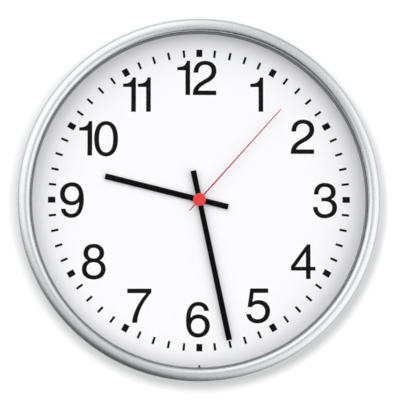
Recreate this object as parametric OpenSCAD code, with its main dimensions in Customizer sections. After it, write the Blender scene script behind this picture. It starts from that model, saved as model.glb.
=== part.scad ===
// Radio-controlled wall clock with a ring bezel, flat glass and three hands.
// The model hangs from the top of its keyhole slot, which is the origin. The wall is the
// plane y = 0, the dial faces -Y and +Z is up. Inside each module the clock lies on its back:
// the wall is z = 0, z grows towards the viewer, and the hands turn about the z axis.

/* [Clock] */
// Outer diameter of the bezel
clock_d = 300; // [260:5:400]
// Depth from the wall to the crest of the bezel
clock_depth = 45; // [42:0.5:60]
// Distance from the top of the clock down to the hanging point
hook_drop = 32; // [27:1:50]

/* [Bezel] */
// Width of the rim from its crest out to the skirt
outer_w = 6.6; // [6.2:0.1:10]
// How far the rim's outer edge lies behind the crest
outer_drop = 2.8; // [1.5:0.1:5]
// Width of the rim from its crest in to the opening
inner_w = 3.5; // [3.2:0.1:6]
// How far the rim's inner edge lies behind the crest
inner_drop = 1.7; // [1:0.1:2.5]
// Height of the upright land between the inner edge and the seat of the gasket
lip_land = 2.7; // [2:0.1:3.5]
// Wall of the skirt
skirt_t = 2.1; // [1.6:0.1:2.2]
// Gap between the skirt's rear edge and the wall
skirt_gap = 1.5; // [0.5:0.1:4]

/* [Glass and dial] */
// Thickness of the glass
glass_t = 2; // [1.5:0.1:3]
// Thickness of the gasket in front of the glass
gasket_t = 0.6; // [0.4:0.1:1]
// Free height between the dial and the glass
reveal_h = 10; // [9:0.5:14]
// Thickness of the dial
dial_t = 1; // [0.6:0.1:1.5]
// How far the bezel's lip covers the edge of the dial
dial_cover = 1; // [0.9:0.05:1.2]
// How far the spacer ring stands out from under the bezel's lip
reveal_step = 0.1; // [0.05:0.05:1]
// Gap round the collar in the middle of the dial
dial_hole_gap = 0.3; // [0.2:0.05:0.6]
// Width of the key notch at the bottom of the dial
notch_w = 1.5; // [1.2:0.1:3]
// Length of the part of the notch that shows
notch_h = 1.8; // [1:0.1:3]

/* [Minute track] */
// Gap between the bezel's lip and the marks
mark_margin = 13.3; // [2:0.1:30]
// Length of the marks
mark_l = 6.2; // [4:0.1:10]
// Width of the five-minute marks
bold_w = 4.6; // [3:0.1:6]
// Width of the minute marks
fine_w = 1.7; // [1:0.1:2.5]
// Height of the printed marks
print_t = 0.05; // [0.02:0.01:0.1]

/* [Hands] */
// Hour that the hands show
shown_hour = 9; // [0:1:11]
// Minute that the hands show
shown_minute = 28; // [0:1:59]
// Second that the hands show
shown_second = 7; // [0:1:19]
// Length of the hour hand from the arbor
hour_l = 81.2; // [60:0.1:95]
// Gap between the tip of the minute hand and the marks
minute_tip_gap = 0.9; // [0.5:0.1:15]
// Gap between the tip of the second hand and the marks
needle_tip_gap = 18.5; // [0.5:0.1:30]
// Tail of the hour and minute hands behind the arbor
tail_l = 24.8; // [15:0.1:30]
// Tail of the second hand behind the arbor
needle_tail_l = 12.4; // [8:0.1:20]
// Width of the hour hand
hour_w = 4.8; // [3:0.1:6]
// Width of the minute hand at its ends
minute_w = 4.8; // [3:0.1:6]
// Width of the minute hand at the arbor
minute_waist_w = 4.4; // [3:0.1:6]
// Width of the second hand at the arbor
needle_w = 1.3; // [0.8:0.1:2]
// Width of the second hand at its ends
needle_tip_w = 0.8; // [0.5:0.1:1.2]
// Thickness of the hour and minute hands
hand_t = 0.6; // [0.4:0.1:0.8]
// Thickness of the second hand
needle_t = 0.3; // [0.2:0.1:0.5]
// Radius of the cap on the second hand
cap_r = 5.35; // [5:0.05:7]
// Height of the cap
cap_h = 1.2; // [0.8:0.1:1.6]
// Height of the hour hand over the dial
hour_lift = 1.4; // [1.2:0.1:2]
// Free height between one hand and the next
hand_gap = 1.4; // [1.2:0.1:1.6]

/* [Rear case] */
// Thickness of the back wall
back_t = 2.5; // [2:0.1:3]
// Thickness of the drum that carries the dial
drum_t = 2.2; // [1.8:0.1:3]
// Gap between the back wall's edge and the skirt
edge_gap = 0.4; // [0.2:0.05:0.6]
// Number of case screws
screw_count = 6; // [4:1:8]
// Radius of a screw boss
boss_r = 3; // [2.9:0.05:3.1]
// Thickness of the back wall round a case screw
pad_z = 5; // [4.5:0.1:6]
// Thickness of the ribs
rib_t = 1.6; // [1:0.1:2.5]
// Height of the ribs above the back wall
rib_h = 8; // [4:0.5:12]
// Number of ribs
rib_count = 8; // [8:4:16]
// Width of the keyhole's slot
slot_w = 5; // [4.2:0.1:6]
// Radius of the keyhole's entry
entry_r = 5; // [4.5:0.1:6]
// Distance from the hanging point down to the middle of the entry
entry_drop = 12; // [11:0.5:16]
// Width of the raised border round the keyhole
keyhole_border = 3; // [2:0.5:4]
// Height of the border round the keyhole
keyhole_border_h = 1.5; // [1:0.1:3]

/* [Case screws] */
// Radius of the thread
screw_r = 1.4; // [1.2:0.05:1.5]
// Radius of the head
screw_head_r = 2.6; // [2.2:0.05:2.7]
// Height of the head
screw_head_h = 1.9; // [1.5:0.1:2.2]
// Length of the thread
screw_l = 12; // [8:0.5:16]

/* [Movement housing] */
// Height of the housing above the arbor
move_top = 29; // [29:0.5:34]
// Wall of the housing
case_wall = 1.2; // [1:0.1:1.4]
// Front wall of the housing
front_wall = 1.5; // [1.5:0.1:1.8]
// Radius of the housing's corners
corner_r = 4; // [2:0.5:5]
// Thickness of the rubber pad between the housing and the dial
pad_t = 1; // [0.6:0.1:1.2]
// Radius of the rubber pad
pad_r = 12; // [8:0.5:16]
// Wall of the collar that the hand tubes run in
collar_t = 1.46; // [1.1:0.02:1.6]
// Gap between the housing and the pocket of the rear case
pocket_gap = 0.3; // [0.2:0.05:0.6]
// Height of the pocket's wall above the back wall
pocket_h = 12; // [8:0.5:15]

/* [Wheel train] */
// Tooth module of the reduction gears
gear_m = 0.4; // [0.38:0.005:0.4]
// Thickness of the wheels
wheel_t = 0.9; // [0.7:0.05:1]
// Free height between two layers of wheels
layer_gap = 0.5; // [0.4:0.05:0.5]
// Thickness of the middle plate
plate_t = 1.2; // [1:0.1:1.4]
// Radius of the steel pins and of the seconds arbor
pin_r = 0.5; // [0.4:0.05:0.55]
// Running clearance on a radius
run_gap = 0.06; // [0.04:0.01:0.08]
// Wall of the minute tube
minute_tube_t = 0.86; // [0.7:0.02:0.9]
// Wall of the hour tube
hour_tube_t = 1; // [0.8:0.05:1]
// Direction of the first minute wheel from the arbor
minute_dir_2 = 30; // [28:1:34]
// Direction of the next minute wheel from the first
minute_dir_1 = -20; // [-24:1:-16]
// Direction of the minute rotor from its wheel
minute_dir_0 = -50; // [-54:1:-46]
// Direction of the seconds intermediate wheel from the arbor
second_dir_1 = 165; // [160:1:168]
// Direction of the seconds rotor from its wheel
second_dir_0 = 215; // [212:1:218]
// Direction of the motion wheel from the arbor
motion_dir = -30; // [-36:1:-26]
// Distance of the light barrier from the arbor
light_r = 5.2; // [5:0.05:5.3]
// Direction of the light barrier from the arbor
light_dir = 110; // [105:1:120]

/* [Motors] */
// Radius of a rotor magnet
magnet_r = 2.6; // [2:0.1:2.7]
// Thickness of a rotor magnet
magnet_t = 2; // [1.5:0.1:2]
// Air gap between magnet and stator
air_gap = 0.4; // [0.3:0.05:0.5]
// Width of the stator beside the rotor hole
stator_rim = 1; // [0.8:0.05:1.05]
// Thickness of the stator
stator_t = 1; // [0.6:0.1:1]
// Distance from the rotor to the outer edge of a stator arm
stator_reach = 8.5; // [8.3:0.1:8.7]
// Width of the stator arms
arm_w = 3; // [2:0.1:3.2]
// Radius of the winding
coil_r = 3.1; // [2.4:0.1:3.1]
// Radius of the bobbin's flanges
flange_r = 3.4; // [3.2:0.05:3.5]
// Free width between the minute motor's stator and its winding
coil_gap = 3.14; // [2.5:0.02:6]
// Free width between a coil's flange and the housing
side_gap = 1; // [0.6:0.1:2]

/* [Electronics] */
// Thickness of the circuit board
board_t = 1; // [0.8:0.1:1.2]
// Gap between the housing's back wall and the circuit board
board_lift = 2.1; // [2:0.1:2.4]
// Diameter of the ferrite rod
rod_d = 7; // [6:0.1:7.2]
// Length of the ferrite rod
rod_l = 60; // [50:1:66]
// Radius of the antenna winding
antenna_r = 4.3; // [3.9:0.05:4.3]
// Length of the antenna winding
antenna_l = 14; // [10:0.5:18]
// Travel of a push button
button_travel = 0.7; // [0.4:0.05:0.8]
// Radius of a push button
button_r = 1.8; // [1.5:0.05:2]

/* [Hidden] */

// Facets in a full circle; a circle stays a true curve.
$fn = 96;
// Overlap of a cut past the face that it opens
cut = 1;
// Bevel at the rear edge of the skirt
edge_cut = 0.6;

// Depth of each layer of the clock, from the crest back to the movement
clock_r = clock_d / 2;
hook_h = clock_r - hook_drop;
rim_w = outer_w + inner_w;
opening_r = clock_r - rim_w;
crest_r = opening_r + inner_w;
lip_z = clock_depth - inner_drop - lip_land;
glass_z = lip_z - gasket_t - glass_t;
dial_front = glass_z - reveal_h;
dial_z = dial_front - dial_t;
dial_r = opening_r + dial_cover;
reveal_r = opening_r - reveal_step;
stack_gap = 0.3;
boss_at = dial_r + stack_gap + boss_r;
skirt_inner = clock_r - skirt_t;
back_r = skirt_inner - edge_gap;
drum_inner = dial_r - drum_t;

// Marks and hands keep their distance from the lip
mark_r = opening_r - mark_margin;
minute_l = mark_r - mark_l - minute_tip_gap;
needle_l = mark_r - mark_l - needle_tip_gap;

// Rear case: head seats, keyhole and lugs of the movement
head_seat = screw_head_h + 0.3;
head_hole_r = screw_head_r + 0.2;
entry_y = hook_h - entry_drop;
lug_w = 6;
lug_in = 3;
lug_t = 2.2;
lug_from_end = 12;

// Teeth: each row is [distance from the pitch circle in modules, half width in pitches]
wheel_form = [[-1.3, 0.235], [0, 0.235], [0.5, 0.155], [0.9, 0.05]];
pinion_form = [[-1.35, 0.18], [0, 0.18], [0.4, 0.125], [0.7, 0.04]];
rotor_teeth = 8;
minute_step_teeth = 40;
minute_drive_teeth = 10;
minute_teeth = 36;
second_step_teeth = 40;
second_teeth = 48;
cannon_teeth = 12;
motion_teeth = 36;
motion_pinion_teeth = 10;
hour_teeth = 40;

// Distances between the axes follow from the teeth
function spacing(m, a, b) = m * (a + b) / 2;
motion_space = spacing(gear_m, motion_pinion_teeth, hour_teeth);
motion_m = 2 * motion_space / (cannon_teeth + motion_teeth);
function polar(r, a) = [r * cos(a), r * sin(a)];
motion_at = polar(motion_space, motion_dir);
minute_at_2 = polar(spacing(gear_m, minute_teeth, minute_drive_teeth), minute_dir_2);
minute_at_1 = minute_at_2
    + polar(spacing(gear_m, minute_step_teeth, rotor_teeth), minute_dir_1);
minute_at_0 = minute_at_1
    + polar(spacing(gear_m, minute_step_teeth, rotor_teeth), minute_dir_0);
second_at_1 = polar(spacing(gear_m, second_teeth, rotor_teeth), second_dir_1);
second_at_0 = second_at_1
    + polar(spacing(gear_m, second_step_teeth, rotor_teeth), second_dir_0);
light_at = polar(light_r, light_dir);

// Movement: the housing stands behind the dial, pressed on the rubber pad, and is as wide
// and as low as the minute motor and its coil need
layer = wheel_t + layer_gap;
coil_room = 0.4;
front_room = max(5 * layer + layer_gap, 2 * flange_r + coil_room + 0.3);
back_room = max(2 * layer + flange_r + magnet_t / 2, 2 * flange_r + coil_room) + 0.9;
move_t = front_wall + front_room + plate_t + back_room + case_wall;
front_z = dial_z - pad_t;
move_z = front_z - move_t;
inner_front = front_z - front_wall;
inner_back = move_z + case_wall;
split_h = 8.7;
split_z = inner_back + split_h;
collar_over = 0.6;
collar_z = dial_front + collar_over;
stator_hole_r = magnet_r + air_gap;
bar_r = stator_hole_r + stator_rim;
coil_x = minute_at_0[0] + bar_r + coil_gap + coil_r;
inner_half_w = coil_x + flange_r + side_gap;
half_w = inner_half_w + case_wall;
inner_top = move_top - case_wall;
rod_gap = 0.2;
rod_y = inner_top - antenna_r - rod_gap;

// Battery bay: a size AA cell, 14.5 by 50.5, which can't be changed
cell_d = 14.5;
cell_l = 50.5;
cell_gap = 0.4;
nub_r = 2.6;
nub_l = 1.2;
train_gap = 0.46;
train_bottom = minute_at_0[1] - stator_reach - train_gap;
bay_top = train_bottom - case_wall;
bay_bottom = bay_top - cell_d - 2 * cell_gap;
move_bottom = bay_bottom - case_wall;
cell_y = (bay_top + bay_bottom) / 2;
cell_z = move_z + cell_gap + cell_d / 2;
bay_front = cell_z + cell_d / 2 + cell_gap;
cell_x0 = -23.7;
cell_x1 = cell_x0 + cell_l;
contact_t = 0.4;
contact_gap = 0.3;
bay_x0 = cell_x0 - 5.3;
bay_x1 = cell_x1 + contact_gap + contact_t;

// Layers of the train, numbered from the front wall backwards
function front_layer(k) = inner_front - k * layer;
plate_z = inner_front - front_room - plate_t;
plate_gap = 0.3;
antenna_gap = 1;
plate_top = rod_y - antenna_r - antenna_gap;
post_r = 1.2;
post_x = 9;
post_inset = 1.6;
post_y = [train_bottom + post_inset, plate_top - 1.4];
function back_layer(k) = plate_z - k * layer;

// Turn of gear 2 that meshes with gear 1, which lies in direction d before it
function mesh(d, n1, p1, n2) = d + 180 - (0.5 - (d - p1) * n1 / 360) * 360 / n2;
phase_minute = 0;
phase_step_2 = mesh(minute_dir_2, minute_teeth, phase_minute, minute_drive_teeth);
phase_step_1 = mesh(minute_dir_1, minute_step_teeth, phase_step_2, rotor_teeth);
phase_step_0 = mesh(minute_dir_0, minute_step_teeth, phase_step_1, rotor_teeth);
phase_motion = mesh(motion_dir, cannon_teeth, phase_minute, motion_teeth);
phase_hour = mesh(motion_dir + 180, motion_pinion_teeth, phase_motion, hour_teeth);
phase_second_1 = mesh(second_dir_1, second_teeth, 0, rotor_teeth);
phase_second_0 = mesh(second_dir_0, second_step_teeth, phase_second_1, rotor_teeth);

// Tubes and arbor, from the inside out
bore_r = pin_r + run_gap;
minute_tube_r = bore_r + minute_tube_t;
hour_bore_r = minute_tube_r + run_gap;
hour_tube_r = hour_bore_r + hour_tube_t;
collar_bore_r = hour_tube_r + run_gap;
collar_r = collar_bore_r + collar_t;
dial_hole_r = collar_r + dial_hole_gap;

// Heights of the hands
hour_z = dial_front + hour_lift;
minute_z = hour_z + hand_t + hand_gap;
needle_z = minute_z + hand_t + hand_gap;
tube_over = 0.2;
cap_edge = 0.4;
hour_turn = 90 - (shown_hour * 30 + shown_minute / 2);
minute_turn = 90 - shown_minute * 6;
second_turn = 90 - shown_second * 6;
hub_rim = 1.6;

// Motors: minute motor in front of the middle plate, seconds motor behind it
minute_stator_z = plate_z + plate_t + coil_room + flange_r - stator_t / 2;
second_stator_z = inner_back + coil_room + 0.1 + flange_r - stator_t / 2;
core_w = 2;
coil_half = stator_reach - arm_w;
bobbin_flange_t = 0.8;
bobbin_tube_r = 1.7;
seat_r = 1.2;
seat_x = stator_hole_r + 1.7;
seat_y = stator_reach - arm_w / 2;

// Electronics
board_z = inner_back + board_lift;
board_x0 = -6.5;
board_x1 = inner_half_w - 0.4;
board_y0 = train_bottom + 0.6;
board_y1 = plate_top - 0.2;
button_y = board_y1 - 4.8;
button_step = 8;
button_x = [for (i = [2, 1, 0]) board_x1 - 7.4 - i * button_step];
button_flange = 0.7;
rod_z = (inner_front + inner_back) / 2;
cradle_from_end = 6;
cradle_t = 3;
cradle_wall = 0.7;
barrier_w = 2;

// Points along an arc about c, from one angle to another
function arc(c, r, a0, a1, steps = 20) =
    [for (i = [0 : steps]) c + polar(r, a0 + i * (a1 - a0) / steps)];

// Lays the clock up against the wall and brings the hanging point to the origin.
module hang() {
    translate([0, 0, -hook_h]) rotate([90, 0, 0]) children();
}

// Ring between two radii and two heights
module ring(r1, r0, z0, z1) {
    translate([0, 0, z0]) difference() {
        cylinder(r = r1, h = z1 - z0);
        translate([0, 0, -cut]) cylinder(r = r0, h = z1 - z0 + 2 * cut);
    }
}

// Copies of a thing at even steps round the arbor
module around(count, first = 0) {
    for (i = [0 : count - 1]) rotate(first + i * 360 / count) children();
}

// Box with upright rounded edges, given by two corners and two heights
module rounded_box(x0, x1, y0, y1, z0, z1, r) {
    translate([0, 0, z0]) linear_extrude(z1 - z0) union() {
        translate([x0 + r, y0]) square([x1 - x0 - 2 * r, y1 - y0]);
        translate([x0, y0 + r]) square([x1 - x0, y1 - y0 - 2 * r]);
        for (x = [x0 + r, x1 - r], y = [y0 + r, y1 - r]) translate([x, y]) circle(r);
    }
}

// Plain box given by two corners and two heights
module box(x0, x1, y0, y1, z0, z1) {
    translate([x0, y0, z0]) cube([x1 - x0, y1 - y0, z1 - z0]);
}

// Cylinder that stands on a height at a place in the dial's plane
module post(at, r, z0, z1) {
    translate([at[0], at[1], z0]) cylinder(r = r, h = z1 - z0);
}

// Outline of a gear whose first tooth points at the angle phase
module gear_outline(teeth, m, form, phase) {
    function corner(k, row, side) =
        polar(m * (teeth / 2 + row[0]), phase + (k + side * row[1]) * 360 / teeth);
    rows = len(form);
    polygon([
        for (k = [0 : teeth - 1], i = [0 : 2 * rows - 1])
            i < rows ? corner(k, form[i], -1) : corner(k, form[2 * rows - 1 - i], 1)
    ]);
}

module gear(teeth, m, form, phase, z, t = wheel_t) {
    translate([0, 0, z]) linear_extrude(t) gear_outline(teeth, m, form, phase);
}

// Wheel with its pinion on one sleeve, bored for a pin
module step_gear(at, wheel, wheel_phase, wheel_z, pinion, pinion_phase, pinion_z) {
    low = min(wheel_z, pinion_z);
    high = max(wheel_z, pinion_z) + wheel_t;
    translate([at[0], at[1], 0]) difference() {
        union() {
            gear(wheel, gear_m, wheel_form, wheel_phase, wheel_z);
            gear(pinion, gear_m, pinion_form, pinion_phase, pinion_z);
            translate([0, 0, low]) cylinder(r = gear_m * (pinion / 2 - 1.35), h = high - low);
        }
        translate([0, 0, low - cut]) cylinder(r = bore_r, h = high - low + 2 * cut);
        around(4, wheel_phase) translate([gear_m * wheel / 4, 0, wheel_z - cut])
            cylinder(r = gear_m * wheel / 12, h = wheel_t + 2 * cut);
    }
}

// Rotor of a stepping motor: a magnet with a pinion on the same sleeve
module rotor(at, phase, pinion_z, magnet_z) {
    low = min(pinion_z, magnet_z);
    high = max(pinion_z + wheel_t, magnet_z + magnet_t);
    translate([at[0], at[1], 0]) difference() {
        union() {
            gear(rotor_teeth, gear_m, pinion_form, phase, pinion_z);
            translate([0, 0, magnet_z]) cylinder(r = magnet_r, h = magnet_t);
            translate([0, 0, low])
                cylinder(r = gear_m * (rotor_teeth / 2 - 1.35), h = high - low);
        }
        translate([0, 0, low - cut]) cylinder(r = bore_r, h = high - low + 2 * cut);
    }
}

// Stator: a bar with the rotor's hole and two arms that the coil's core closes.
// side is 1 where the coil lies at +x and -1 where it lies at -x.
module stator(at, z, side) {
    x_core = side * coil_x;
    x_far = x_core + side * core_w / 2;
    translate([0, 0, z]) linear_extrude(stator_t) difference() {
        union() {
            translate([at[0] - bar_r, at[1] - stator_reach])
                square([2 * bar_r, 2 * stator_reach]);
            for (y = [at[1] - stator_reach, at[1] + stator_reach - arm_w])
                translate([min(at[0], x_far), y]) square([abs(x_far - at[0]), arm_w]);
            translate([x_core - core_w / 2, at[1] - stator_reach])
                square([core_w, 2 * stator_reach]);
        }
        translate(at) circle(stator_hole_r);
        for (s = [-1, 1]) translate([at[0] + s * stator_hole_r, at[1]]) circle(0.4);
    }
}

// Runs the children along y round the core of a coil
module on_core(at, z, side) {
    translate([side * coil_x, at[1], z + stator_t / 2]) rotate([90, 0, 0]) children();
}

module bobbin(at, z, side) {
    half = coil_half - 0.1;
    on_core(at, z, side) difference() {
        union() {
            translate([0, 0, -half]) cylinder(r = bobbin_tube_r, h = 2 * half);
            for (s = [-half, half - bobbin_flange_t]) translate([0, 0, s])
                cylinder(r = flange_r, h = bobbin_flange_t);
        }
        translate([-core_w / 2 - 0.05, -stator_t / 2 - 0.05, -half - cut])
            cube([core_w + 0.1, stator_t + 0.1, 2 * half + 2 * cut]);
    }
}

module winding(at, z, side) {
    half = coil_half - 0.1 - bobbin_flange_t;
    on_core(at, z, side) difference() {
        translate([0, 0, -half]) cylinder(r = coil_r, h = 2 * half);
        translate([0, 0, -half - cut]) cylinder(r = bobbin_tube_r, h = 2 * half + 2 * cut);
    }
}

// Radius of the arc that starts level and drops by drop over the width w
function crown_r(w, drop) = (w * w + drop * drop) / (2 * drop);

// Section of the bezel: skirt, domed rim that drops to both sides of its crest, upright land
// and the flat seat of the gasket
module bezel_section() {
    outer_r = crown_r(outer_w, outer_drop);
    inner_r = crown_r(inner_w, inner_drop);
    polygon(concat(
        [[skirt_inner, skirt_gap], [clock_r - edge_cut, skirt_gap],
         [clock_r, skirt_gap + edge_cut]],
        arc([crest_r, clock_depth - outer_r], outer_r,
            90 - 2 * atan(outer_drop / outer_w), 90, 16),
        arc([crest_r, clock_depth - inner_r], inner_r,
            96, 90 + 2 * atan(inner_drop / inner_w), 14),
        [[opening_r, lip_z], [skirt_inner, lip_z]]
    ));
}

// Silvered ring with its screw bosses behind the front web
module bezel_ring() {
    color([0.83, 0.84, 0.85]) hang() difference() {
        union() {
            rotate_extrude() bezel_section();
            around(screw_count, 90 + 180 / screw_count) {
                post([boss_at, 0], boss_r, pad_z, lip_z + 0.2);
                box(boss_at + boss_r / 2, skirt_inner + 0.5, -1, 1, pad_z, lip_z + 0.2);
            }
        }
        around(screw_count, 90 + 180 / screw_count)
            post([boss_at, 0], screw_r, pad_z - cut, head_seat + screw_l + 1);
    }
}

module glass() {
    color([0.85, 0.92, 0.92, 0.35]) hang()
        translate([0, 0, glass_z]) cylinder(r = dial_r, h = glass_t);
}

module glass_gasket() {
    color([0.12, 0.12, 0.12]) hang() ring(dial_r, opening_r + 0.2, glass_z + glass_t, lip_z);
}

// Ring that holds the glass away from the dial
module reveal_ring() {
    color([0.22, 0.22, 0.23]) hang() ring(dial_r, reveal_r, dial_front, glass_z);
}

module dial_plate() {
    color([0.97, 0.97, 0.97]) hang() difference() {
        translate([0, 0, dial_z]) cylinder(r = dial_r, h = dial_t);
        translate([0, 0, dial_z - cut]) cylinder(r = dial_hole_r, h = dial_t + 2 * cut);
        box(-notch_w / 2, notch_w / 2, -dial_r - cut, -reveal_r + notch_h,
            dial_z - cut, dial_front + cut);
    }
}

// Sixty printed marks, each fifth one bold
module minute_track() {
    color([0.06, 0.06, 0.06]) hang() for (i = [0 : 59]) rotate(i * 6) {
        w = i % 5 == 0 ? bold_w : fine_w;
        box(mark_r - mark_l, mark_r, -w / 2, w / 2, dial_front, dial_front + print_t);
    }
}

// Plan of the keyhole grown by a margin
module keyhole_plan(margin) {
    translate([0, entry_y]) circle(entry_r + margin);
    translate([0, hook_h - slot_w / 2]) circle(slot_w / 2 + margin);
    translate([-slot_w / 2 - margin, entry_y])
        square([slot_w + 2 * margin, entry_drop - slot_w / 2]);
}

// Black moulded dish: back wall, drum under the dial, ribs, and the movement's pocket
module rear_case() {
    px = half_w + pocket_gap;
    py0 = move_bottom - pocket_gap;
    py1 = move_top + pocket_gap;
    lug_y = [move_bottom + lug_from_end, move_top - lug_from_end];
    color([0.13, 0.13, 0.14]) hang() difference() {
        union() {
            cylinder(r = back_r, h = back_t);
            ring(dial_r, drum_inner, 0, dial_z);
            // Key under the notch of the dial
            box(-notch_w / 2 + 0.1, notch_w / 2 - 0.1, -dial_r, -reveal_r + notch_h - 0.1,
                dial_z - 4, dial_front - 0.2);
            intersection() {
                around(screw_count, 90 + 180 / screw_count)
                    post([boss_at, 0], boss_r + 1.4, 0, pad_z);
                ring(back_r, drum_inner, 0, pad_z);
            }
            around(rib_count, 180 / rib_count)
                box(half_w, dial_r - drum_t / 2, -rib_t / 2, rib_t / 2, back_t - 0.5,
                    back_t + rib_h);
            rounded_box(-px - rib_t, px + rib_t, py0 - rib_t, py1 + rib_t, 0,
                back_t + pocket_h, corner_r + rib_t);
            linear_extrude(back_t + keyhole_border_h) keyhole_plan(keyhole_border);
        }
        // Pocket and window of the movement, with four lugs left under its corners
        difference() {
            rounded_box(-px, px, py0, py1, -cut, back_t + pocket_h + cut, corner_r);
            for (s = [-1, 1], y = lug_y)
                box(min(s * (half_w - lug_in), s * (px + 1)),
                    max(s * (half_w - lug_in), s * (px + 1)),
                    y - lug_w / 2, y + lug_w / 2, move_z - lug_t, move_z);
        }
        translate([0, 0, -cut]) linear_extrude(back_t + keyhole_border_h + 2 * cut)
            keyhole_plan(0);
        around(screw_count, 90 + 180 / screw_count) {
            post([boss_at, 0], screw_r + 0.2, -cut, pad_z + cut);
            post([boss_at, 0], head_hole_r, -cut, head_seat);
        }
    }
}

// Pan-head screws that hold the rear case in the bezel
module case_screws() {
    color([0.7, 0.7, 0.72]) hang() around(screw_count, 90 + 180 / screw_count) difference() {
        union() {
            post([boss_at, 0], screw_r, head_seat - 0.1, head_seat + screw_l);
            post([boss_at, 0], screw_head_r, head_seat - screw_head_h, head_seat);
        }
        for (a = [0, 90]) translate([boss_at, 0, head_seat - screw_head_h - cut]) rotate(a)
            translate([-1.3, -0.3, 0]) cube([2.6, 0.6, cut + 0.9]);
    }
}

// Front half of the housing with the collar of the hands
module movement_front() {
    color([0.2, 0.2, 0.21]) hang() difference() {
        union() {
            rounded_box(-half_w, half_w, move_bottom, move_top, split_z, front_z, corner_r);
            post([0, 0], collar_r, front_z - 0.5, collar_z);
        }
        rounded_box(-inner_half_w, inner_half_w, move_bottom + case_wall, inner_top,
            split_z - cut, inner_front, corner_r - case_wall);
        post([0, 0], collar_bore_r, inner_front - cut, collar_z + cut);
        // Pocket of the light source
        translate([light_at[0], light_at[1], inner_front])
            cube([barrier_w + 0.2, barrier_w + 0.2, 2 * (front_wall - 0.3)], center = true);
        for (p = [motion_at, minute_at_2, minute_at_1, minute_at_0])
            post(p, pin_r, inner_front - cut, inner_front + 0.8);
    }
}

// Back half of the housing: battery bay, button holes, bearings and seats
module movement_back() {
    color([0.2, 0.2, 0.21]) hang() difference() {
        union() {
            difference() {
                rounded_box(-half_w, half_w, move_bottom, move_top, move_z, split_z, corner_r);
                rounded_box(-inner_half_w, inner_half_w, move_bottom + case_wall, inner_top,
                    inner_back, split_z + cut, corner_r - case_wall);
            }
            // Walls and roof of the battery bay
            box(-inner_half_w + 0.1, inner_half_w - 0.1, bay_bottom, bay_top + case_wall,
                inner_back - 0.5, split_z);
            box(bay_x0 - case_wall, bay_x1 + case_wall, bay_bottom + 0.1, bay_top + case_wall,
                inner_back - 0.5, bay_front + case_wall);
            // Bearing of the seconds arbor
            post([0, 0], 2, inner_back - 0.5, inner_back + 1.8);
            for (p = [second_at_1, second_at_0]) post(p, 1.5, inner_back - 0.5, inner_back + 1);
            // Posts of the middle plate
            for (x = [-inner_half_w + post_inset, -post_x, post_x], y = post_y)
                post([x, y], post_r, inner_back - 0.5, plate_z);
            for (y = post_y)
                post([inner_half_w - post_inset, y], post_r, inner_back - 0.5, board_z);
            // Seats of the seconds stator
            for (s = [-1, 1]) post(second_at_0 + [-seat_x, s * seat_y], seat_r,
                inner_back - 0.5, second_stator_z);
            // Cradles of the ferrite rod
            for (s = [-1, 1])
                translate([s * (rod_l / 2 - cradle_from_end), 0, 0])
                    box(-cradle_t / 2, cradle_t / 2, rod_y - rod_d / 2 - cradle_wall,
                        inner_top + 0.5, inner_back - 0.5, min(rod_z, split_z));
        }
        // Bay, open at the back
        box(bay_x0, bay_x1, bay_bottom, bay_top, move_z - cut, bay_front);
        post([0, 0], bore_r, inner_back + 0.4, inner_back + 1.8 + cut);
        for (p = [second_at_1, second_at_0]) post(p, pin_r, inner_back, inner_back + 1 + cut);
        for (x = button_x) post([x, button_y], button_r + 0.08, move_z - cut, inner_back + cut);
        translate([-rod_l / 2 - cut, rod_y, rod_z]) rotate([0, 90, 0])
            cylinder(d = rod_d, h = rod_l + 2 * cut);
    }
}

// Plate between the minute train and the seconds train
module middle_plate() {
    x1 = inner_half_w - plate_gap;
    color([0.85, 0.85, 0.82]) hang() difference() {
        union() {
            rounded_box(-x1, x1, train_bottom + plate_gap, plate_top, plate_z,
                plate_z + plate_t, 1.5);
            for (s = [-1, 1]) post(minute_at_0 + [seat_x, s * seat_y], seat_r,
                plate_z + plate_t - 0.2, minute_stator_z);
        }
        post([0, 0], bore_r, plate_z - cut, plate_z + plate_t + cut);
        post(light_at, 0.9, plate_z - cut, plate_z + plate_t + cut);
        for (p = [motion_at, minute_at_2, minute_at_1, minute_at_0])
            post(p, pin_r, plate_z + 0.4, plate_z + plate_t + cut);
        for (p = [second_at_1, second_at_0]) post(p, pin_r, plate_z - cut, plate_z + 0.8);
    }
}

// Soft pad that presses the housing away from the dial
module rubber_pad() {
    color([0.1, 0.1, 0.1]) hang() ring(pad_r, dial_hole_r, front_z, dial_z);
}

// Steel pins on which the wheels and rotors turn
module wheel_pins() {
    color([0.75, 0.76, 0.78]) hang() {
        for (p = [motion_at, minute_at_2, minute_at_1, minute_at_0])
            post(p, pin_r, plate_z + 0.4, inner_front + 0.8);
        for (p = [second_at_1, second_at_0]) post(p, pin_r, inner_back, plate_z + 0.8);
    }
}

// Flat bar that points along +x, with one width at the arbor and another at its ends
module hand_plan(length, tail, waist, ends) {
    polygon([[-tail, -ends / 2], [0, -waist / 2], [length, -ends / 2],
             [length, ends / 2], [0, waist / 2], [-tail, ends / 2]]);
}

module hour_hand() {
    color([0.05, 0.05, 0.05]) hang() rotate(hour_turn) translate([0, 0, hour_z])
        linear_extrude(hand_t) difference() {
            union() {
                translate([-tail_l, -hour_w / 2]) square([tail_l + hour_l, hour_w]);
                circle(hour_tube_r + hub_rim);
            }
            circle(hour_tube_r);
        }
}

module minute_hand() {
    color([0.05, 0.05, 0.05]) hang() rotate(minute_turn) translate([0, 0, minute_z])
        linear_extrude(hand_t) difference() {
            union() {
                hand_plan(minute_l, tail_l, minute_waist_w, minute_w);
                circle(minute_tube_r + hub_rim);
            }
            circle(minute_tube_r);
        }
}

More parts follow.
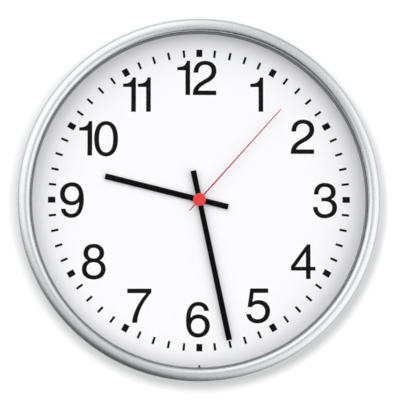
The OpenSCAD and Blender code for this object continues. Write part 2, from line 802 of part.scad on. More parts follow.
// Red needle with its round cap
module second_hand() {
    color([0.85, 0.2, 0.2]) hang() rotate(second_turn) translate([0, 0, needle_z]) {
        linear_extrude(needle_t) hand_plan(needle_l, needle_tail_l, needle_w, needle_tip_w);
        translate([0, 0, needle_t / 2])
            cylinder(r = cap_r, h = cap_h - cap_edge + needle_t / 2);
        translate([0, 0, needle_t + cap_h - cap_edge])
            cylinder(r1 = cap_r, r2 = cap_r - cap_edge, h = cap_edge);
    }
}

// Brass tube that presses the second hand on its arbor
module second_tube() {
    color([0.8, 0.65, 0.35]) hang()
        ring(minute_tube_r - 0.2, pin_r, minute_z + hand_t + tube_over + 0.3, needle_z);
}

module hour_wheel() {
    z = front_layer(1);
    top = hour_z + hand_t + tube_over;
    color([0.9, 0.9, 0.88]) hang() difference() {
        union() {
            gear(hour_teeth, gear_m, wheel_form, phase_hour, z);
            post([0, 0], hour_tube_r, z, top);
        }
        post([0, 0], hour_bore_r, z - cut, top + cut);
        around(4, light_dir) post([light_r, 0], 1.2, z - cut, z + wheel_t + cut);
    }
}

// Wheel and pinion that bring the hour hand to one twelfth of the minute hand's speed
module motion_wheel() {
    z = front_layer(2);
    high = front_layer(1) + wheel_t;
    color([0.9, 0.9, 0.88]) hang() translate([motion_at[0], motion_at[1], 0]) difference() {
        union() {
            gear(motion_teeth, motion_m, wheel_form, phase_motion, z);
            gear(motion_pinion_teeth, gear_m, pinion_form, phase_motion, front_layer(1));
            post([0, 0], gear_m * (motion_pinion_teeth / 2 - 1.35), z, high);
        }
        post([0, 0], bore_r, z - cut, high + cut);
        around(4) post([motion_m * motion_teeth / 4, 0], 1.2, z - cut, z + wheel_t + cut);
    }
}

// Minute wheel with the cannon pinion and the tube that carries the minute hand
module minute_wheel() {
    z = front_layer(3);
    top = minute_z + hand_t + tube_over;
    color([0.9, 0.9, 0.88]) hang() difference() {
        union() {
            gear(minute_teeth, gear_m, wheel_form, phase_minute, z);
            gear(cannon_teeth, motion_m, pinion_form, phase_minute, front_layer(2));
            post([0, 0], minute_tube_r, z, top);
        }
        post([0, 0], bore_r, z - cut, top + cut);
        around(4, light_dir) post([light_r, 0], 0.8, z - cut, z + wheel_t + cut);
    }
}

module minute_intermediate_2() {
    color([0.9, 0.9, 0.88]) hang() step_gear(minute_at_2, minute_step_teeth, phase_step_2,
        front_layer(4), minute_drive_teeth, phase_step_2, front_layer(3));
}

module minute_intermediate_1() {
    color([0.9, 0.9, 0.88]) hang() step_gear(minute_at_1, minute_step_teeth, phase_step_1,
        front_layer(5), rotor_teeth, phase_step_1, front_layer(4));
}

module minute_rotor() {
    color([0.45, 0.46, 0.5]) hang() rotor(minute_at_0, phase_step_0, front_layer(5),
        minute_stator_z + stator_t / 2 - magnet_t / 2);
}

module seconds_wheel() {
    z = back_layer(1);
    color([0.9, 0.9, 0.88]) hang() difference() {
        gear(second_teeth, gear_m, wheel_form, 0, z);
        post([0, 0], pin_r, z - cut, z + wheel_t + cut);
        around(4, light_dir) post([light_r, 0], 1.2, z - cut, z + wheel_t + cut);
    }
}

// Steel arbor through the minute tube
module seconds_arbor() {
    color([0.75, 0.76, 0.78]) hang() post([0, 0], pin_r, inner_back + 0.5, needle_z);
}

module seconds_intermediate() {
    color([0.9, 0.9, 0.88]) hang() step_gear(second_at_1, second_step_teeth, phase_second_1,
        back_layer(2), rotor_teeth, phase_second_1, back_layer(1));
}

module seconds_rotor() {
    color([0.45, 0.46, 0.5]) hang() rotor(second_at_0, phase_second_0, back_layer(2),
        second_stator_z + stator_t / 2 - magnet_t / 2);
}

module minute_stator() {
    color([0.6, 0.6, 0.62]) hang() stator(minute_at_0, minute_stator_z, 1);
}

module seconds_stator() {
    color([0.6, 0.6, 0.62]) hang() stator(second_at_0, second_stator_z, -1);
}

module minute_bobbin() {
    color([0.95, 0.93, 0.85]) hang() bobbin(minute_at_0, minute_stator_z, 1);
}

module seconds_bobbin() {
    color([0.95, 0.93, 0.85]) hang() bobbin(second_at_0, second_stator_z, -1);
}

module minute_coil() {
    color([0.75, 0.4, 0.2]) hang() winding(minute_at_0, minute_stator_z, 1);
}

module seconds_coil() {
    color([0.75, 0.4, 0.2]) hang() winding(second_at_0, second_stator_z, -1);
}

module circuit_board() {
    color([0.1, 0.4, 0.2]) hang() difference() {
        rounded_box(board_x0, board_x1, board_y0, board_y1, board_z, board_z + board_t, 1);
        post([0, 0], 2.6, board_z - cut, board_z + board_t + cut);
        for (y = post_y)
            post([post_x, y], post_r + 0.3, board_z - cut, board_z + board_t + cut);
    }
}

module control_chip() {
    z = board_z + board_t;
    color([0.08, 0.08, 0.09]) hang() {
        translate([board_x1 - 17.4, board_y1 - 23.8, 0]) rounded_box(0, 8, 0, 8, z, z + 1.2, 0.4);
        translate([board_x1 - 22.4, board_y1 - 12.8, 0]) rounded_box(0, 5, 0, 4, z, z + 1, 0.3);
    }
}

// Two tuning-fork crystals in tubular cans, one for the clock and one for the receiver
module quartz_crystal() {
    can_r = 1;
    color([0.8, 0.8, 0.82]) hang() for (y = [board_y1 - 11.8, board_y1 - 8.3])
        translate([board_x1 - 12.4, y, board_z + board_t + can_r]) rotate([0, 90, 0])
            cylinder(r = can_r, h = 6);
}

// Light source in the front wall and its sensor on the board
module light_barrier() {
    color([0.15, 0.15, 0.2]) hang() {
        translate([light_at[0], light_at[1], inner_front + (front_wall - 0.3) / 2 + 0.05])
            cube([barrier_w, barrier_w, front_wall - 0.4], center = true);
        translate([light_at[0], light_at[1], board_z + board_t + 0.75])
            cube([barrier_w, barrier_w, 1.5], center = true);
    }
}

module ferrite_rod() {
    color([0.2, 0.2, 0.21]) hang() translate([-rod_l / 2, rod_y, rod_z]) rotate([0, 90, 0])
        cylinder(d = rod_d, h = rod_l);
}

module antenna_coil() {
    color([0.75, 0.4, 0.2]) hang() translate([-14, rod_y, rod_z]) rotate([0, 90, 0])
        difference() {
            cylinder(r = antenna_r, h = antenna_l);
            translate([0, 0, -cut]) cylinder(d = rod_d, h = antenna_l + 2 * cut);
        }
}

module battery() {
    color([0.75, 0.76, 0.78]) hang() translate([cell_x0, cell_y, cell_z]) rotate([0, 90, 0]) {
        cylinder(d = cell_d, h = cell_l - nub_l);
        cylinder(r = nub_r, h = cell_l);
    }
}

// Flat spring contact that touches the cell's nub
module contact_positive() {
    x = bay_x1 - contact_t;
    color([0.8, 0.8, 0.78]) hang() {
        box(x, bay_x1, cell_y - 4.5, cell_y + 4.5, cell_z - 5, bay_front);
    }
}

// Bent leaf spring behind the flat end of the cell
module contact_negative() {
    x = bay_x0;
    t = contact_t;
    reach = cell_x0 - contact_gap - bay_x0;
    z0 = cell_z - 5;
    z1 = cell_z + 5;
    mid = (z0 + z1) / 2;
    color([0.8, 0.8, 0.78]) hang() translate([x, cell_y + 4, 0]) rotate([90, 0, 0])
        linear_extrude(8) polygon([
            [0, z0], [0, z1], [t, z1], [t, z0 + t], [reach * 0.6, mid - 2.5],
            [reach - t, mid - 1.2], [reach - t, mid + 1.2], [reach * 0.6, mid + 2.5],
            [reach * 0.6 + t, mid + 2.9], [reach, mid + 1.4], [reach, mid - 1.4],
            [reach * 0.6 + t * 0.7, mid - 3], [t, z0]
        ]);
}

// Push button that slides through the back wall onto the board
module push_button(x) {
    rest = board_z - button_travel - 0.1;
    color([0.9, 0.9, 0.9]) hang() {
        post([x, button_y], button_r, move_z - 0.8, rest);
        post([x, button_y], button_r + 0.6, inner_back + 0.05, inner_back + button_flange);
    }
}

module button_set() {
    push_button(button_x[0]);
}

module button_receive() {
    push_button(button_x[1]);
}

module button_reset() {
    push_button(button_x[2]);
}

bezel_ring();
glass();
glass_gasket();
reveal_ring();
dial_plate();
minute_track();
rear_case();
case_screws();
movement_front();
movement_back();
middle_plate();
rubber_pad();
wheel_pins();
hour_hand();
minute_hand();
second_hand();
second_tube();
hour_wheel();
motion_wheel();
minute_wheel();
minute_intermediate_2();
minute_intermediate_1();
minute_rotor();
seconds_wheel();
seconds_arbor();
seconds_intermediate();
seconds_rotor();
minute_stator();
seconds_stator();
minute_bobbin();
seconds_bobbin();
minute_coil();
seconds_coil();
circuit_board();
control_chip();
quartz_crystal();
light_barrier();
ferrite_rod();
antenna_coil();
battery();
contact_positive();
contact_negative();
button_set();
button_receive();
button_reset();
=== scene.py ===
import math

import bmesh
import bpy
from mathutils import Matrix, Vector


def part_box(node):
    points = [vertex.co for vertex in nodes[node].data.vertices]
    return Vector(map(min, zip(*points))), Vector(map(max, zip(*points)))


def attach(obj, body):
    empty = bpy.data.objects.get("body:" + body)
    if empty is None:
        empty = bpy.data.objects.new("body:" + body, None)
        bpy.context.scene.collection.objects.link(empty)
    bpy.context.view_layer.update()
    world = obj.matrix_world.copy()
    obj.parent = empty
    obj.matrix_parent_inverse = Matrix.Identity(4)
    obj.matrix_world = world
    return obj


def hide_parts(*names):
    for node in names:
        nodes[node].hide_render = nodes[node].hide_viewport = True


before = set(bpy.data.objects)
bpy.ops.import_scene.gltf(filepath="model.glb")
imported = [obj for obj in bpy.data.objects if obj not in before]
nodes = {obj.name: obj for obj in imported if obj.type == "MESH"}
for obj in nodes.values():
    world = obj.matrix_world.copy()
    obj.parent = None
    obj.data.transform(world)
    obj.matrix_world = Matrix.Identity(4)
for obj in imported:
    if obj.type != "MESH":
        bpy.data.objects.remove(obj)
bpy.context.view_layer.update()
print("frame loaded,", len(nodes), "nodes")

mm = 0.001
hangDrop = 118 * mm  # from the hanging point down to the middle of the dial
dialFront = -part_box("dial_plate")[0].y  # height of the dial's face over the wall

# Everything is modelled with the clock on its back, z towards the viewer, then hung up.
hangUp = Matrix.Translation((0, 0, -hangDrop)) @ Matrix.Rotation(math.radians(90), 4, "X")

near = 0.02  # how close counts as being in a place, in mm
past = 1  # how far a cutting body runs past what it cuts, in mm


def linear(hexColour):
    # sRGB colour to the linear values that shaders take
    parts = [int(hexColour[i:i + 2], 16) / 255 for i in (0, 2, 4)]
    return [c / 12.92 if c <= 0.04045 else ((c + 0.055) / 1.055) ** 2.4 for c in parts] + [1]


def addNode(tree, kind, settings=None):
    # an output of another node is linked, any other value is set on the node or on its socket
    node = tree.nodes.new(kind)
    for key, value in (settings or {}).items():
        if isinstance(value, bpy.types.NodeSocket):
            tree.links.new(value, node.inputs[key])
        elif isinstance(key, str) and hasattr(node, key):
            setattr(node, key, value)
        else:
            node.inputs[key].default_value = value
    return node


def calculate(tree, operation, *values):
    # values are numbers or outputs of other nodes
    return addNode(tree, "ShaderNodeMath", {"operation": operation, **dict(enumerate(values))}).outputs[0]


def remap(tree, value, start, end, low=0, high=1, kind="LINEAR"):
    # low where the value is at start, high where it is at end
    return addNode(tree, "ShaderNodeMapRange", {
        "interpolation_type": kind, "Value": value, "From Min": start, "From Max": end,
        "To Min": low, "To Max": high,
    }).outputs["Result"]


def newMaterial(name, colour, **sockets):
    material = bpy.data.materials.new(name)
    material.use_nodes = True
    tree = material.node_tree
    shader = tree.nodes["Principled BSDF"]
    shader.inputs["Base Color"].default_value = linear(colour)
    for socket, value in sockets.items():
        shader.inputs[socket.replace("_", " ")].default_value = value
    return material, tree, shader


# Each coat varies through one noise: its roughness, the span of values that it mostly takes,
# the strength of its relief, and where its two tints begin.
coatNoise = {"roughness": 0.55, "span": (0.3, 0.7), "relief": 0.6, "tints": (0.32, 0.68)}


def finishCoat(tree, shader, grain, depth, rough, colours=None, stretch=(1, 1, 1), detail=3):
    # grain in mm, depth of the relief in mm, rough as the two ends of the roughness
    place = addNode(tree, "ShaderNodeTexCoord")
    stretched = addNode(tree, "ShaderNodeMapping", {"Scale": stretch, "Vector": place.outputs["Object"]})
    noise = addNode(tree, "ShaderNodeTexNoise", {
        "Scale": 1 / (grain * mm), "Detail": detail, "Roughness": coatNoise["roughness"],
        "Vector": stretched.outputs["Vector"],
    }).outputs["Fac"]
    tree.links.new(remap(tree, noise, *coatNoise["span"], *rough), shader.inputs["Roughness"])
    relief = addNode(tree, "ShaderNodeBump", {
        "Strength": coatNoise["relief"], "Distance": depth * mm, "Height": noise,
    })
    tree.links.new(relief.outputs["Normal"], shader.inputs["Normal"])
    if colours:
        ramp = addNode(tree, "ShaderNodeValToRGB", {"Fac": noise})
        for element, position, colour in zip(ramp.color_ramp.elements, coatNoise["tints"], colours):
            element.position = position
            element.color = linear(colour)
        tree.links.new(ramp.outputs["Color"], shader.inputs["Base Color"])


def coated(name, grain, depth, rough, colours, stretch=(1, 1, 1), detail=3, **sockets):
    # a new material with a coat in two close tints
    material, tree, shader = newMaterial(name, colours[0], **sockets)
    finishCoat(tree, shader, grain, depth, rough, colours, stretch, detail)
    return material


# Silver metallic-lacquered ABS: fine flakes under a satin coat give broad soft highlights.
silverLacquer = coated("silver metallic-lacquered ABS", 0.35, 0.001, (0.23, 0.29), ("C8CBCC", "CCCFD0"),
                       Metallic=0.9)

# Float glass: clear and level, so it shows only where it is seen at a low angle.
glassLook = {"clear": 0.012, "edgeOn": 0.8, "falloff": 5}
floatGlass, tree, shader = newMaterial("float glass", "0C1412", Roughness=0.02, IOR=1.5)
facing = addNode(tree, "ShaderNodeLayerWeight", {"Blend": 0.5})
steep = calculate(tree, "POWER", facing.outputs["Facing"], glassLook["falloff"])
tree.links.new(remap(tree, steep, 0, 1, glassLook["clear"], glassLook["edgeOn"]), shader.inputs["Alpha"])
floatGlass.surface_render_method = "BLENDED"

# Black moulded rubber: matte, a little dusty.
blackRubber = coated("black moulded rubber", 0.8, 0.01, (0.68, 0.85), ("191919", "222223"))

# Mid grey moulded ABS of the spacer: satin, so it mirrors the dial softly.
revealGrey = coated("mid grey moulded ABS", 1.2, 0.004, (0.3, 0.42), ("5D5F61", "646668"))

# White stove-lacquered aluminium sheet: flat white with a faint orange peel.
dialWhite = coated("white lacquered aluminium sheet", 1.6, 0.004, (0.46, 0.56), ("F8F8FA", "FAFAFC"))

# Black screen print: matte ink a few hundredths of a millimetre thick.
dialPrint = coated("black screen-printed ink", 0.5, 0.003, (0.55, 0.7), ("0A0A09", "100F0E"),
                   Specular_IOR_Level=0.08)

# Spark-eroded black ABS of the back: even fine grain, dull sheen.
caseBlack = coated("spark-eroded black ABS", 0.5, 0.03, (0.5, 0.68), ("1D1E20", "26272A"), detail=5)

# Moulded polystyrene of the movement: smoother and glossier than the case.
housingBlack = coated("moulded black polystyrene", 2.5, 0.006, (0.26, 0.4), ("171819", "1E1F20"))

# Zinc-plated steel: bright grey with a slight bluish bloom.
screwSteel = coated("zinc-plated steel", 0.6, 0.004, (0.24, 0.42), ("AEB2B8", "C4C6C8"), Metallic=1)

# Ground steel of pins and arbor: fine marks run round the pin.
pinSteel = coated("ground steel", 0.5, 0.002, (0.16, 0.3), ("B9BABC", "CACBCD"), (1, 8, 1), Metallic=1)

# Moulded acetal: milky, slightly waxy.
acetalWhite = coated("moulded white acetal", 1.0, 0.004, (0.33, 0.45), ("E2DFD3", "EBE8DE"),
                     Subsurface_Weight=0.05)

# Unfilled acetal sheet of the middle plate: ivory, with faint flow marks.
plateIvory = coated("ivory moulded acetal", 3.0, 0.005, (0.36, 0.5), ("D7D1BC", "E1DCC9"), (1, 1, 0.4))

# Black lacquered aluminium hands: stamped flat, dead matte so that they don't glare.
handBlack = coated("matte black lacquered aluminium", 0.7, 0.002, (0.54, 0.68), ("050505", "080808"),
                   Specular_IOR_Level=0.05)

# Red lacquered aluminium of the cap: opaque, satin.
handRed = coated("red lacquered aluminium", 0.7, 0.002, (0.36, 0.48), ("E8373A", "EE3D40"),
                 Specular_IOR_Level=0.3)

# The needle has the cap's red lacquer, painted a deeper red as painted shade on the thin blade.
needleShadedRed = coated("red lacquered aluminium with painted shade", 0.7, 0.002, (0.4, 0.52), ("AE2732", "B92E39"),
                   Specular_IOR_Level=0.2)

# Drawn brass tube: warm, with lengthwise drawing marks.
tubeBrass = coated("drawn brass", 0.4, 0.003, (0.22, 0.36), ("BF9A48", "D2AF5E"), (1, 0.15, 1),
                   Metallic=1)

# Bonded magnet with its moulded pinion: dark grey and dull.
rotorMagnet = coated("bonded ferrite magnet", 0.25, 0.006, (0.44, 0.6), ("434448", "55565A"),
                     Metallic=0.2)

# Stamped soft iron of the stators: grey, faint rolling lines.
statorIron = coated("stamped soft iron", 0.6, 0.004, (0.3, 0.48), ("929396", "A8A9AB"), (0.15, 1, 1),
                    Metallic=1)

# Natural nylon of the bobbins: cream, slightly translucent.
bobbinNylon = coated("natural nylon", 0.9, 0.004, (0.36, 0.5), ("E3DCC4", "EFE9D6"),
                     Subsurface_Weight=0.08)

# Epoxy of the chips: fine matte grain.
chipBlack = coated("moulded black epoxy", 0.15, 0.006, (0.5, 0.66), ("18181A", "222224"))

# Nickel-plated can of the crystals.
crystalCan = coated("nickel-plated steel can", 0.5, 0.002, (0.2, 0.33), ("BCBAB4", "CFCDC8"), Metallic=1)

# Nickel-plated spring steel of the contacts: warm grey, bright where rubbed.
contactNickel = coated("nickel-plated spring steel", 0.8, 0.003, (0.2, 0.42), ("B9B5AB", "D3D0C8"),
                       (1, 1, 0.2), Metallic=1)

# Sintered ferrite: almost black, sooty grain.
ferriteGrey = coated("sintered ferrite", 0.3, 0.02, (0.55, 0.75), ("262629", "353538"))

# Moulded light grey ABS of the buttons.
buttonGrey = coated("moulded grey ABS", 0.6, 0.006, (0.36, 0.5), ("AEAFB1", "BBBCBE"))

# Nickel-plated steel can of the cell: bright, with faint turning marks.
cellSteel = coated("nickel-plated deep-drawn steel", 0.5, 0.002, (0.2, 0.34), ("BBBCBB", "CDCECD"),
                   Metallic=1)

# Enamelled copper wire wound in even layers: each turn is drawn 0.25 mm wide so that it shows; painted
# shade darkens the grooves between turns.
winding = {"turn": 0.25, "relief": 0.04, "dark": "6E2F14", "bright": "C06A38"}
waveRepeat = 0.32  # about how far apart the bands of a wave texture of scale 1 are


def woundCopper(name, axis):
    material, tree, shader = newMaterial(name, winding["bright"], Metallic=0.9, Roughness=0.3)
    place = addNode(tree, "ShaderNodeTexCoord")
    turns = addNode(tree, "ShaderNodeTexWave", {
        "wave_type": "BANDS", "bands_direction": axis, "Scale": waveRepeat / (winding["turn"] * mm),
        "Distortion": 0.15, "Detail": 1, "Detail Scale": 2, "Vector": place.outputs["Object"],
    }).outputs["Fac"]
    # painted shade: the dark tint lies in the grooves between turns, the bright one on their tops
    ramp = addNode(tree, "ShaderNodeValToRGB", {"Fac": turns})
    ramp.color_ramp.elements[0].color = linear(winding["dark"])
    ramp.color_ramp.elements[1].color = linear(winding["bright"])
    relief = addNode(tree, "ShaderNodeBump", {
        "Strength": 0.8, "Distance": winding["relief"] * mm, "Height": turns,
    })
    tree.links.new(ramp.outputs["Color"], shader.inputs["Base Color"])
    tree.links.new(relief.outputs["Normal"], shader.inputs["Normal"])
    return material


coilCopper = woundCopper("enamelled copper wire", "Z")  # motor coils are wound about the vertical
antennaCopper = woundCopper("enamelled antenna wire", "X")  # the antenna is wound about the rod

# Green solder mask on glass-fibre board: tracks show as lighter, slightly raised lines.
board = {"spacing": 1.6, "relief": 0.03, "mask": ("1A5130", "1E5A35"), "track": "3B8552"}
boardGreen, tree, shader = newMaterial("solder mask on glass-fibre board", board["mask"][0],
                                       Roughness=0.3)
place = addNode(tree, "ShaderNodeTexCoord")
flat = addNode(tree, "ShaderNodeMapping", {
    "Rotation": (math.radians(90), 0, 0), "Vector": place.outputs["Object"],
})
tracks = addNode(tree, "ShaderNodeTexBrick", {
    "offset": 0.5, "Scale": 1 / (board["spacing"] * mm), "Mortar Size": 0.12, "Mortar Smooth": 0.1,
    "Brick Width": 4.2, "Row Height": 1, "Color1": linear(board["mask"][0]),
    "Color2": linear(board["mask"][1]), "Mortar": linear(board["track"]), "Vector": flat.outputs["Vector"],
})
relief = addNode(tree, "ShaderNodeBump", {
    "Strength": 0.5, "Distance": board["relief"] * mm, "invert": True, "Height": tracks.outputs["Fac"],
})
tree.links.new(tracks.outputs["Color"], shader.inputs["Base Color"])
tree.links.new(relief.outputs["Normal"], shader.inputs["Normal"])

# Printed film round the cell: slate grey with a pale band near the nub, satin.
filmPrint = {"main": "46515C", "band": "C9CDD0", "bandStart": 12.9, "bandFull": 13.1}  # in mm along x
cellFilm, tree, shader = newMaterial("printed shrink film", filmPrint["main"])
finishCoat(tree, shader, 0.8, 0.002, (0.26, 0.38))
place = addNode(tree, "ShaderNodeTexCoord")
along = addNode(tree, "ShaderNodeSeparateXYZ", {"Vector": place.outputs["Object"]})
tint = addNode(tree, "ShaderNodeMix", {
    "data_type": "RGBA",
    "Factor": remap(tree, along.outputs["X"], filmPrint["bandStart"] * mm, filmPrint["bandFull"] * mm),
    "A": linear(filmPrint["main"]), "B": linear(filmPrint["band"]),
})
tree.links.new(tint.outputs["Result"], shader.inputs["Base Color"])
print("materials ready")

finishes = {
    "bezel_ring": silverLacquer, "glass": floatGlass, "glass_gasket": blackRubber,
    "reveal_ring": revealGrey, "dial_plate": dialWhite, "minute_track": dialPrint, "rear_case": caseBlack,
    "case_screws": screwSteel, "movement_front": housingBlack, "movement_back": housingBlack,
    "middle_plate": plateIvory, "rubber_pad": blackRubber, "wheel_pins": pinSteel, "hour_hand": handBlack,
    "minute_hand": handBlack, "second_hand": handRed, "second_tube": tubeBrass, "hour_wheel": acetalWhite,
    "motion_wheel": acetalWhite, "minute_wheel": acetalWhite, "minute_intermediate_2": acetalWhite,
    "minute_intermediate_1": acetalWhite, "minute_rotor": rotorMagnet, "seconds_wheel": acetalWhite,
    "seconds_arbor": pinSteel, "seconds_intermediate": acetalWhite, "seconds_rotor": rotorMagnet,
    "minute_stator": statorIron, "seconds_stator": statorIron, "minute_bobbin": bobbinNylon,
    "seconds_bobbin": bobbinNylon, "minute_coil": coilCopper, "seconds_coil": coilCopper,
    "circuit_board": boardGreen, "control_chip": chipBlack, "quartz_crystal": crystalCan,
    "light_barrier": chipBlack, "ferrite_rod": ferriteGrey, "antenna_coil": antennaCopper,
    "battery": cellFilm, "contact_positive": contactNickel, "contact_negative": contactNickel,
    "button_set": buttonGrey, "button_receive": buttonGrey, "button_reset": buttonGrey,
}
for name, material in finishes.items():
    mesh = nodes[name].data
    mesh.materials.clear()
    mesh.materials.append(material)


def clearSelection():
    if bpy.context.object and bpy.context.object.mode != "OBJECT":
        bpy.ops.object.mode_set(mode="OBJECT")
    bpy.ops.object.select_all(action="DESELECT")


def pick(piece):
    clearSelection()
    piece.select_set(True)
    bpy.context.view_layer.objects.active = piece


def evenShading(piece):
    # broad flat faces keep their flat look beside the small radii
    pick(piece)
    bpy.ops.object.shade_smooth_by_angle(angle=math.radians(30))
    even = piece.modifiers.new("even", "WEIGHTED_NORMAL")
    even.keep_sharp = True
    bpy.ops.object.modifier_apply(modifier="even")


def settle(piece, name, body, material, angle=30):
    # hangs the finished piece up, puts its place in its mesh and lets it ride
    pick(piece)
    bpy.ops.object.transform_apply(location=True, rotation=True, scale=True)
    bpy.ops.object.shade_smooth_by_angle(angle=math.radians(angle))
    piece.data.transform(hangUp)
    piece.name = name
    piece.data.name = name
    if not piece.data.materials:
        piece.data.materials.append(material)
    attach(piece, body)
    return piece


def addRound(radius, low, high, corners=64, at=(0, 0)):
    # upright round bar, sizes in mm, ready to be shaped
    clearSelection()
    bpy.ops.mesh.primitive_cylinder_add(vertices=corners, radius=radius * mm, depth=(high - low) * mm,
                                        location=(at[0] * mm, at[1] * mm, (low + high) / 2 * mm))
    bpy.ops.object.transform_apply(location=True, rotation=True, scale=True)
    return bpy.context.object


def addBlock(xs, ys, zs):
    # upright block between two values on each axis, in mm
    clearSelection()
    bpy.ops.mesh.primitive_cube_add(size=1, location=[sum(pair) / 2 * mm for pair in (xs, ys, zs)],
                                    scale=[(pair[1] - pair[0]) * mm for pair in (xs, ys, zs)])
    bpy.ops.object.transform_apply(location=True, rotation=True, scale=True)
    return bpy.context.object


def edit(piece):
    pick(piece)
    bpy.ops.object.mode_set(mode="EDIT")


def chooseFaces(test):
    # test gets the middle of a face in mm and its normal
    bpy.ops.mesh.select_mode(type="FACE")
    bpy.ops.mesh.select_all(action="DESELECT")
    body = bmesh.from_edit_mesh(bpy.context.object.data)
    for face in body.faces:
        if test(face.calc_center_median() / mm, face.normal):
            face.select_set(True)
    bmesh.update_edit_mesh(bpy.context.object.data)


def chooseEdges(test):
    # test gets each end of an edge in mm and must hold for both
    bpy.ops.mesh.select_mode(type="EDGE")
    bpy.ops.mesh.select_all(action="DESELECT")
    body = bmesh.from_edit_mesh(bpy.context.object.data)
    for edge in body.edges:
        if all(test(corner.co / mm) for corner in edge.verts):
            edge.select_set(True)
    bmesh.update_edit_mesh(bpy.context.object.data)
def pull(distance):
    # pushes the chosen faces out along z, in mm
    bpy.ops.mesh.extrude_region_move(TRANSFORM_OT_translate={"value": (0, 0, distance * mm)})


def lift(distance):
    # moves the chosen faces along z, in mm
    bpy.ops.transform.translate(value=(0, 0, distance * mm))


def narrow(width):
    # sets the chosen faces in from their edge, in mm
    bpy.ops.mesh.inset(thickness=width * mm)


def roundOff(width, steps):
    bpy.ops.mesh.bevel(offset=width * mm, segments=steps, profile=0.5, affect="EDGES",
                       clamp_overlap=False)


def upward(place, normal):
    return normal.z > 0.9


def downward(place, normal):
    return normal.z < -0.9


def atHeight(height):
    return lambda p: abs(p.z - height) < near


def mergeCorners(distance):
    bpy.ops.mesh.select_all(action="SELECT")
    bpy.ops.mesh.remove_doubles(threshold=distance * mm)


def leaveEdit():
    mergeCorners(0.002)
    bpy.ops.mesh.normals_make_consistent(inside=False)
    bpy.ops.object.mode_set(mode="OBJECT")


def carve(piece, tool, how):
    # joins a second body to the piece or cuts it out of the piece
    pick(piece)
    cut = piece.modifiers.new("cut", "BOOLEAN")
    cut.operation = how
    cut.object = tool
    cut.solver = "EXACT"
    bpy.ops.object.modifier_apply(modifier="cut")
    bpy.data.objects.remove(tool)


def softenEdges(piece, width, steps=2, angle=40):
    # small moulded or tumbled radius on every sharp edge
    pick(piece)
    soft = piece.modifiers.new("soft", "BEVEL")
    soft.width = width * mm
    soft.segments = steps
    soft.limit_method = "ANGLE"
    soft.angle_limit = math.radians(angle)
    bpy.ops.object.modifier_apply(modifier="soft")


def join(pieces):
    clearSelection()
    for piece in pieces:
        piece.select_set(True)
    bpy.context.view_layer.objects.active = pieces[0]
    bpy.ops.object.join()
    return bpy.context.object


def copyRound(piece, count, first=0):
    # copies of a piece at even steps round the arbor, each with its own mesh
    copies = []
    for i in range(count):
        other = piece.copy()
        other.data = piece.data.copy()
        bpy.context.scene.collection.objects.link(other)
        other.data.transform(Matrix.Rotation(math.radians(first + i * 360 / count), 4, "Z"))
        copies.append(other)
    bpy.data.objects.remove(piece)
    return copies


def nodeCopy(node):
    # own copy of a CAD node's mesh, laid on its back and with its corners merged
    other = bpy.data.objects.new(node, nodes[node].data.copy())
    other.data.materials.clear()
    bpy.context.scene.collection.objects.link(other)
    other.data.transform(hangUp.inverted())
    edit(other)
    mergeCorners(0.001)
    bpy.ops.mesh.dissolve_limited(angle_limit=math.radians(0.5))
    bpy.ops.object.mode_set(mode="OBJECT")
    return other


# Bezel: a domed rim spun from its section, with six screw bosses behind its front web.
bezel = {
    "radius": 150, "crestRadius": 143.4, "opening": 139.9, "crest": 45, "outerDrop": 2.8,
    "innerDrop": 1.7, "seat": 40.6, "skirtInside": 147.9, "rear": 1.5, "rearRound": 0.6,
    "edgeRound": 0.25, "lipRound": 0.3, "crownStep": 0.2, "corners": 240,
    "bosses": 6, "firstBoss": 120, "bossAt": 144.2, "bossRadius": 3, "bossRear": 5, "bossRound": 0.25,
    "holeRadius": 1.4, "holeEnd": 15.2, "webWidth": 2, "webRound": 0.2, "webStart": 1.5, "webSunk": 0.5,
    "seatSunk": 0.2,
}


def onCircle(radius, height):
    # the corners of a circle may lie a little inside its radius
    return lambda p: abs(p.xy.length - radius) < 4 * near and abs(p.z - height) < near


def crownArc(end, drop):
    # part of a circle that starts level at the crest and has dropped by drop at the radius end
    width = abs(end - bezel["crestRadius"])
    radius = (width ** 2 + drop ** 2) / (2 * drop)
    middle = bezel["crest"] - radius
    side = 1 if end > bezel["crestRadius"] else -1
    clearSelection()
    bpy.ops.mesh.primitive_circle_add(vertices=int(4 * radius / bezel["crownStep"]), radius=radius * mm,
                                      location=(bezel["crestRadius"] * mm, 0, middle * mm),
                                      rotation=(math.radians(90), 0, 0))
    bpy.ops.object.transform_apply(location=True, rotation=True, scale=True)
    bpy.ops.object.mode_set(mode="EDIT")
    for place, normal in (((bezel["crestRadius"], 0, 0), (-side, 0, 0)), ((end, 0, 0), (side, 0, 0)),
                          ((0, 0, middle), (0, 0, -1))):
        bpy.ops.mesh.select_all(action="SELECT")
        bpy.ops.mesh.bisect(plane_co=[c * mm for c in place], plane_no=normal, clear_outer=True)
    bpy.ops.object.mode_set(mode="OBJECT")
    return bpy.context.object


def chooseCorner(x, z):
    # the one corner of a flat section that lies nearest to a place, set exactly there
    bpy.ops.mesh.select_mode(type="VERT")
    bpy.ops.mesh.select_all(action="DESELECT")
    body = bmesh.from_edit_mesh(bpy.context.object.data)
    nearest = min(body.verts, key=lambda corner: (corner.co - Vector((x, 0, z)) * mm).length)
    nearest.select_set(True)
    nearest.co = Vector((x, 0, z)) * mm
    bmesh.update_edit_mesh(bpy.context.object.data)


